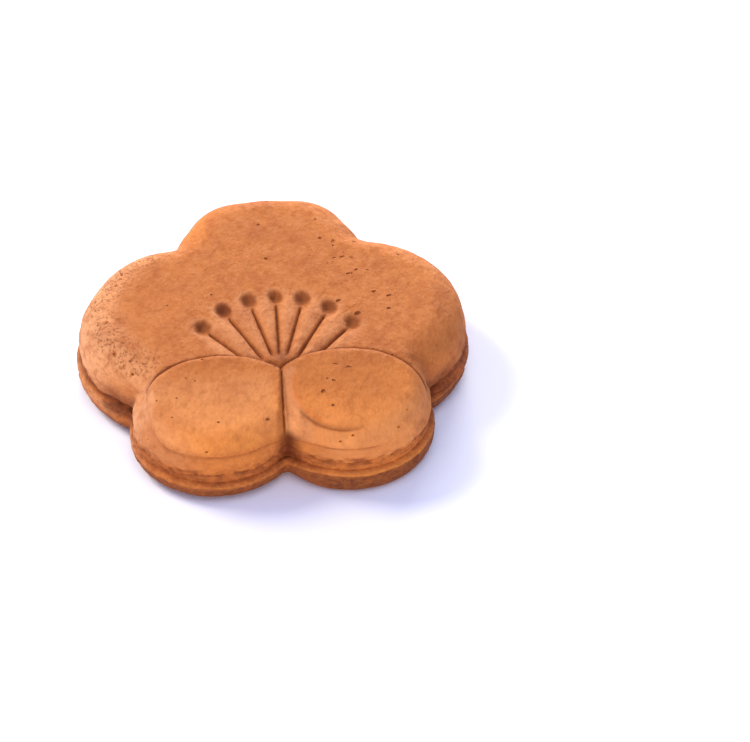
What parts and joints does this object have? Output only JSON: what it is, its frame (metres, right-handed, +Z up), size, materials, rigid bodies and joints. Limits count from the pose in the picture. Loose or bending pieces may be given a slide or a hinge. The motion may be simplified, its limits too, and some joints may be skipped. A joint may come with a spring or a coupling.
{
  "type": "baked manju",
  "caption": "Flat baked bun in the shape of a plum blossom, with raised front petals, a fan of stamens and a mould lip round its side.",
  "frame": {"origin": "middle of the outline's box, on the surface that the flat underside rests on", "axes": "+Z up through the decorated top, +Y towards the single back petal, +X towards the right-hand petals seen from the front"},
  "size_m": [0.072, 0.072, 0.016],
  "materials": {
    "crust": "matt golden-brown baked crust with fine pores, browner along the side and underneath"
  },
  "bodies": {
    "root": {"bun": "crust"}
  },
  "joints": []
}
